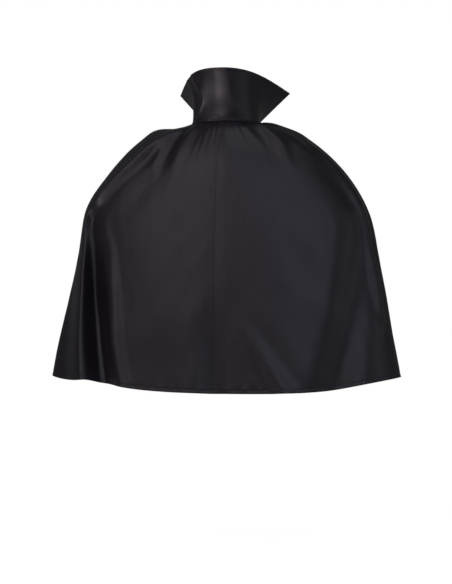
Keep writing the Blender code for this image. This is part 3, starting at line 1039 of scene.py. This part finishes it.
def loop_centre(along):
    """A point (x, z) on the tape's middle line and the way across it, from the left end."""
    half = LOOP_LENGTH / 2
    side = -1 if along < half else 1
    left = min(along, LOOP_LENGTH - along)
    if left < LEG:
        x, z, nx, nz = -LOOP_HALF, -left, 1.0, 0.0
    elif left < LEG + QUARTER:
        angle = (left - LEG) / LOOP_CORNER
        nx, nz = math.cos(angle), math.sin(angle)
        x, z = -LOOP_HALF + LOOP_CORNER * (1 - nx), -LEG - LOOP_CORNER * nz
    else:
        x, z, nx, nz = -LOOP_HALF + LOOP_CORNER + left - LEG - QUARTER, -LOOP_DROP, 0.0, 1.0
    return -side * x, z, -side * nx, nz


def loop_face(along, across):
    """A point on the side of the loop's tape that faces the back of the neck."""
    x, z, nx, nz = loop_centre(along)
    wave = LOOP_RIPPLE * (math.sin(along / (7 * MM)) + 1)
    return Vector((x + nx * across, LOOP_Y - wave, LOOP_TOP + z + nz * across))


def loop_stitch(start, end, across):
    """A short path along the tape's other side, where an end of the loop is caught in."""
    return lambda t: loop_face(start + (end - start) * t, across) - Vector((0, 1.0 * MM, 0))


loop_acrosses = spread(-LOOP_HALF_WIDTH, LOOP_HALF_WIDTH, 6)
loop = lay_sheet("hanger_loop_tape", loop_face, spread(0.0, LOOP_LENGTH, 72), loop_acrosses, size=(1.0, 1.0))
loop.data.materials.append(BLACK_TWILL)
thicken(loop, 0.9 * MM)
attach(loop, "hanger_loop")
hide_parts("hanger_loop")
for name, start, end in (("left", 1 * MM, 5 * MM), ("right", LOOP_LENGTH - 5 * MM, LOOP_LENGTH - 1 * MM)):
    for across in (-2.2 * MM, 2.2 * MM):
        row_name = f"hanger_loop_stitches_{name}_{'in' if across > 0 else 'out'}"
        stitch_row(row_name, loop_stitch(start, end, across), 6 * MM, body="hanger_loop")
print(loop.name, round(LOOP_LENGTH / MM, 1), "mm of tape")

# %% [markdown]
# The care label is a blank white satin ribbon. It is sewn under the neck tape along its top edge, and curls
# a little at its free end.

# %% Care label
LABEL_WIDTH = 24 * MM
LABEL_LENGTH = 40 * MM
LABEL_AROUND = 0.30
LABEL_INSET = 5.5 * MM
LABEL_GAP = 0.3 * MM
WHITE_RIBBON = satin("polyester_ribbon_white", "CFCDC6", "E2E0DA", 0.50, 0.40)
WHITE_THREAD = thread("polyester_thread_white", "C9C7C2", "E6E4DF")
seam_point = cape_half(LABEL_AROUND, 0.0)
along_seam = cape_half(LABEL_AROUND + 0.01, 0.0) - cape_half(LABEL_AROUND - 0.01, 0.0)
label_way = Vector((along_seam.x, along_seam.y, 0.0)).normalized()
into_neck = -Vector((seam_point.x, seam_point.y, 0.0)).normalized()
label_out = Vector((-label_way.y, label_way.x, 0.0))
label_top = seam_point + into_neck * LABEL_INSET - Vector((0.0, 0.0, TAPE_HALF_HEIGHT + LABEL_GAP))


def label_face(across, down):
    """The side of the label nearer the cloth."""
    curl = 0.25 * MM * (across / (LABEL_WIDTH / 2)) ** 2 * down / LABEL_LENGTH
    return label_top + label_way * across - Vector((0, 0, down)) - label_out * curl


def label_stitch(t):
    """The stitch line across the top of the label, on the side nearer the neck."""
    return label_face((t - 0.5) * LABEL_WIDTH * 0.94, 1.8 * MM) - label_out * 0.55 * MM


label_acrosses = spread(-LABEL_WIDTH / 2, LABEL_WIDTH / 2, 20)
label_downs = spread(0.0, LABEL_LENGTH, 30)
label = lay_sheet("care_label_ribbon", label_face, label_acrosses, label_downs, size=(1.0, 1.0))
label.data.materials.append(WHITE_RIBBON)
thicken(label, 0.5 * MM)
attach(label, "care_label")
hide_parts("care_label")
label_row = stitch_row("care_label_stitches", label_stitch, LABEL_WIDTH, body="care_label", skin=WHITE_THREAD)
print(label.name, len(label.data.polygons), "faces")

# %% [markdown]
# The neck closes with a hook-and-loop tab. Both tabs are folded satin, edge-stitched, with one round end.
# A tab is a grid whose height follows the round corners, with the stitch line pressed in. The hook tape
# has rows of bent hooks and the loop tape has standing loops, both spun from a small square of thread.

# %% Shape of the closure tabs
CLOSURE = Matrix.Translation((0.0, -0.0575, -0.045)) @ Matrix.Rotation(-math.radians(12), 4, "X")
TAB_HALF_HEIGHT = 11 * MM
TAB_CORNER = 8 * MM
EDGE_LINE = 2.2 * MM
ROUND_SHARE = 0.12               # the share of half the stitch line that goes round the end


def half_height(from_end):
    """Half the height of a tab at that distance from its round end."""
    if from_end >= TAB_CORNER:
        return TAB_HALF_HEIGHT
    short = TAB_CORNER - max(0.0, from_end)
    return TAB_HALF_HEIGHT - TAB_CORNER + math.sqrt(TAB_CORNER**2 - short**2)


def tab_face(round_end, square_end, depth):
    """The outer face of a tab with one round end, at that depth behind the front of the closure."""
    length = abs(square_end - round_end)
    way = 1 if square_end > round_end else -1

    def place(from_end, height):
        z = height * half_height(from_end)
        inside = min(from_end, length - from_end, half_height(from_end) - abs(z))
        press = 0.22 * MM * bell(inside, EDGE_LINE, 0.9 * MM)
        press += 0.25 * MM * (1 - smooth(inside, 0.0, 1.2 * MM))
        pucker = 0.05 * MM * noise.noise(Vector((from_end * 400, z * 400, depth * 900)))
        return CLOSURE @ Vector((round_end + way * from_end, depth + press + abs(pucker), z))
    return place


def tab_edge_path(face, length):
    """The stitch line, EDGE_LINE in from the edge: along the bottom, round the end and back."""
    def path(t):
        turn = 2 * t - 1
        straight = max(0.0, abs(turn) - ROUND_SHARE) / (1 - ROUND_SHARE)
        from_end = EDGE_LINE + (length - 2 * EDGE_LINE) * straight
        height = math.copysign(min(1.0, abs(turn) / ROUND_SHARE), turn)
        limit = half_height(from_end - EDGE_LINE * 0.3)
        height *= max(0.0, limit - EDGE_LINE) / half_height(from_end)
        return face(from_end, height) + CLOSURE.to_3x3() @ Vector((0, -0.05 * MM, 0))
    return path


print("each tab is", 2 * TAB_HALF_HEIGHT / MM, "mm wide")

# %% Closure tabs
TAB_THICKNESS = 1.35 * MM
ROOT_START, ROOT_END, ROOT_DEPTH = 21.6 * MM, 36.0 * MM, 5.0 * MM
TABS = [
    # name, round end, square end, depth of the outer face, body
    ("closure_tab", -21.0 * MM, 20.5 * MM, 0.1 * MM, "closure_tab"),
    ("under_tab", 8.0 * MM, -36.0 * MM, 5.0 * MM, "cape"),
]


def root_face(along, height):
    """The root of the closing tab: it is sewn to the neck, and both its ends are square."""
    sunk = 0.1 * MM * abs(height) ** 6
    return CLOSURE @ Vector((ROOT_START + along, ROOT_DEPTH + sunk, height * TAB_HALF_HEIGHT))


def sew_tab(name, face, length, body, stitched):
    """A folded strip of satin, and its stitches if it is stitched."""
    froms = [0.0, 0.25 * MM, 0.7 * MM, 1.3 * MM] + spread(EDGE_LINE, length, 40)
    tab = lay_sheet(f"{name}_satin", face, froms, spread(-1.0, 1.0, 28), size=(1.0, TAB_HALF_HEIGHT))
    tab.data.materials.append(BLACK_SATIN)
    thicken(tab, TAB_THICKNESS)
    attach(tab, body)
    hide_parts(name)
    rows = []
    if stitched:
        rows = [stitch_row(f"{name}_stitches", tab_edge_path(face, length), 2 * length, body=body)]
    print(tab.name, round(length / MM, 1), "mm long")


for name, round_end, square_end, depth, body in TABS:
    length = abs(square_end - round_end)
    sew_tab(name, tab_face(round_end, square_end, depth), length, body, stitched=True)
sew_tab("closure_tab_root", root_face, ROOT_END - ROOT_START, "cape", stitched=False)

# %% Fold between the tab and its root
FOLD_START, FOLD_LENGTH = 23.0 * MM, 4.2 * MM
FOLD_BACK, FOLD_RISE = 5.6 * MM, 4.7 * MM


def tab_fold(along, height):
    """An S from the sewn root out to the back of the opening tab."""
    x = FOLD_START - along * FOLD_LENGTH
    depth = FOLD_BACK - FOLD_RISE * smooth(along)
    return CLOSURE @ Vector((x, depth, height * TAB_HALF_HEIGHT * 0.98))


fold_size = (6.3 * MM, TAB_HALF_HEIGHT)
fold = lay_sheet("closure_tab_fold", tab_fold, spread(0.0, 1.0, 16), spread(-1.0, 1.0, 10), size=fold_size)
fold.data.materials.append(BLACK_SATIN)
thicken(fold, 0.5 * MM)
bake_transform(fold)
print(fold.name, len(fold.data.polygons), "faces")

# %% Hook tape and loop tape
PATCH_HALF_LENGTH = 10 * MM
PATCH_HALF_HEIGHT = 8 * MM
PATCH_MIDDLE = -7 * MM
PATCH_THICKNESS = 0.65 * MM
HOOK_PITCH = 1.7 * MM
PILE_RADIUS = 0.07 * MM


def woven_nylon(name, dark, light, roughness, sheen):
    """The ground of a hook or a loop tape: coarse plain weave in matt nylon."""
    made, tree, shader = new_material(name)
    cells = {"Vector": object_place(tree), "Scale": 1800.0}
    weave = add_node(tree, "ShaderNodeTexVoronoi", {}, cells).outputs["Distance"]
    join_up(tree, shader, two_colours(tree, weave, dark, light), bump_of(tree, weave, 0.5, 0.2 * MM))
    shader.inputs["Roughness"].default_value = roughness
    shader.inputs["Sheen Weight"].default_value = sheen
    return made


HOOK_NYLON = woven_nylon("nylon_hook_tape_black", "0A0A0B", "1C1B1D", 0.55, 0.0)
LOOP_NYLON = woven_nylon("nylon_loop_tape_black", "0E0D0F", "242226", 0.85, 0.5)
print("patches in", HOOK_NYLON.name, "and", LOOP_NYLON.name)

# %% Hooks and loops
def pile(name, depth, way, turn, radius, skin, body):
    """A patch of hooks or loops. They stand off the ground that way, and each bends through that turn."""
    unit = bmesh.new()
    upright = Matrix.Rotation(math.pi / 2, 4, "X")
    ring = bmesh.ops.create_circle(unit, segments=4, radius=PILE_RADIUS, matrix=upright)
    edges = list({edge for vert in ring["verts"] for edge in vert.link_edges})
    bmesh.ops.spin(
        unit,
        geom=ring["verts"] + edges,
        cent=(-way * radius, 0, 0),
        axis=(0, 0, 1),
        dvec=(0, 0, 0),
        angle=turn,
        steps=5,
        use_duplicate=False,
    )
    bmesh.ops.recalc_face_normals(unit, faces=unit.faces)
    across = int(2 * PATCH_HALF_LENGTH / HOOK_PITCH) - 1
    tall = int(2 * PATCH_HALF_HEIGHT / HOOK_PITCH) - 1
    matrices = []
    for i in range(across):
        for j in range(tall):
            jitter = noise.noise_vector(Vector((i * 1.7, j * 2.3, turn)))
            x = PATCH_MIDDLE + (i - (across - 1) / 2 + (j % 2) / 3) * HOOK_PITCH + jitter.x * 0.2 * MM
            z = (j - (tall - 1) / 2) * HOOK_PITCH + jitter.y * 0.2 * MM
            twist = Matrix.Rotation(jitter.z * turn, 4, "Y")
            matrices.append(CLOSURE @ Matrix.Translation((x, depth, z)) @ twist)
    made = copies(name, unit, matrices)
    made.data.materials.append(skin)
    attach(made, body)
    return made


def ground_face(depth):
    """The outer face of a patch, with a slight unevenness."""
    def place(x, z):
        uneven = 0.04 * MM * abs(noise.noise(Vector((x * 900, z * 900, depth))))
        return CLOSURE @ Vector((PATCH_MIDDLE + x, depth + uneven, z))
    return place


patch_xs = spread(-PATCH_HALF_LENGTH, PATCH_HALF_LENGTH, 24)
patch_zs = spread(-PATCH_HALF_HEIGHT, PATCH_HALF_HEIGHT, 20)
PATCHES = [
    # node, outer face of the ground, side of the pile, bend, radius of the bend, skin, body
    ("hook_patch", 1.9 * MM, 1, math.radians(215), 0.20 * MM, HOOK_NYLON, "closure_tab"),
    ("loop_patch", 3.9 * MM, -1, math.radians(180), 0.30 * MM, LOOP_NYLON, "cape"),
]
for node, depth, way, turn, radius, skin, body in PATCHES:
    ground = lay_sheet(f"{node}_ground", ground_face(depth), patch_xs, patch_zs)
    ground.data.materials.append(skin)
    thicken(ground, PATCH_THICKNESS)
    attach(ground, body)
    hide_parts(node)
    pile_depth = depth + PATCH_THICKNESS if way > 0 else depth
    standing = pile(f"{node}_pile", pile_depth, way, turn, radius, skin, body)
    print(ground.name, len(ground.data.polygons), "faces, pile", len(standing.data.polygons))

# %% [markdown]
# The studio is plain. The floor is a small lit sheet of white acrylic, which keeps the shadow faint, and the
# background is white to the camera and dim to everything else, so that only the softboxes shape the satin. On
# a glossy black cloth the light is seen as reflections: a warm key on the left, a cooler fill on the right,
# one from above for the shoulders, a low one for the folds near the hem and one for the right-hand edge.

# %% Floor
FLOOR_Z = -1.052
FLOOR_MIDDLE = (0.0, -0.55, FLOOR_Z)
FLOOR_SIZE = (1.8, 2.6)
bm = bmesh.new()
floor_place = Matrix.Translation(FLOOR_MIDDLE) @ Matrix.Diagonal((FLOOR_SIZE[0] / 2, FLOOR_SIZE[1] / 2, 1, 1))
bmesh.ops.create_grid(bm, x_segments=1, y_segments=1, size=1.0, matrix=floor_place)
floor_mesh = bpy.data.meshes.new("studio_floor")
bm.to_mesh(floor_mesh)
bm.free()
floor = new_object("studio_floor", floor_mesh)
acrylic, _, acrylic_shader = new_material("lit_white_acrylic")
acrylic_shader.inputs["Base Color"].default_value = colour("F4F4F2")
acrylic_shader.inputs["Roughness"].default_value = 0.9
acrylic_shader.inputs["Emission Color"].default_value = colour("FFFFFF")
acrylic_shader.inputs["Emission Strength"].default_value = 0.85
floor.data.materials.append(acrylic)
print("floor", FLOOR_SIZE, "m")

# %% Background
DIM = 0.12                       # how bright the background is to everything but the camera
world = bpy.data.worlds.new("studio")
world.use_nodes = True
sky = world.node_tree
seen = add_node(sky, "ShaderNodeLightPath").outputs["Is Camera Ray"]
bright = sky.nodes["Background"]
bright.inputs["Color"].default_value = colour("FFFFFF")
bright.inputs["Strength"].default_value = 1.0
dim = add_node(sky, "ShaderNodeBackground", {}, {"Color": colour("FFFFFF"), "Strength": DIM})
either = add_node(sky, "ShaderNodeMixShader", {}, {"Fac": seen, 1: dim.outputs[0], 2: bright.outputs[0]})
sky.links.new(either.outputs[0], sky.nodes["World Output"].inputs["Surface"])
bpy.context.scene.world = world
bpy.context.scene.view_settings.view_transform = "Standard"
print("background", world.name)


# %% Softboxes
def softbox(name, place, aim, size, power, tint, beam=180):
    """A rectangular light at that place, pointed at the aim. Its beam is the angle that it fills."""
    data = bpy.data.lights.new(name, "AREA")
    data.shape = "RECTANGLE"
    data.size, data.size_y = size
    data.energy = power
    data.color = colour(tint)[:3]
    data.spread = math.radians(beam)
    lamp = new_object(name, data)
    lamp.location = place
    lamp.rotation_euler = (Vector(aim) - Vector(place)).to_track_quat("-Z", "Y").to_euler()


# the columns are the place, aim, size, watts and tint
softbox("key_softbox", (1.9, 4.1, 1.6), (0, 0, -0.3), (2.8, 2.4), 30, "FFE9F6")
softbox("fill_softbox", (-1.8, 4.5, 1.3), (0, 0, -0.3), (2.2, 2.4), 22, "DDE8FF")
softbox("top_softbox", (-0.4, 2.1, 2.8), (0, 0, -0.1), (2.4, 1.8), 14, "F4F2FF")
softbox("low_softbox", (2.1, 3.2, -0.95), (0, 0, 0.10), (3.0, 0.8), 1.5, "FFEFF8", beam=18)
softbox("side_softbox", (-3.4, 0.9, 0.2), (0, 0, -0.4), (1.4, 2.2), 6, "E6EEFF")
print(len(bpy.data.lights), "softboxes")

# %% [markdown]
# The camera stands behind the wearer, a little to their right, level with the middle of the cape. A long
# lens from 4.5 m keeps the sides close to parallel.

# %% Camera
VIEW_AZIMUTH = math.radians(192)
VIEW_DISTANCE = 4.5
VIEW_HEIGHT = -0.408
camera_data = bpy.data.cameras.new("camera")
camera_data.lens = 115.6
camera_data.sensor_width = 36
camera = new_object("camera", camera_data)
target = Vector((0.0, 0.0, VIEW_HEIGHT))
view_from = Vector((math.sin(VIEW_AZIMUTH), -math.cos(VIEW_AZIMUTH), 0.0))
camera.location = target + view_from * VIEW_DISTANCE
camera.rotation_euler = (target - camera.location).to_track_quat("-Z", "Y").to_euler()
bpy.context.scene.camera = camera
print("camera at", [round(c, 2) for c in camera.location])
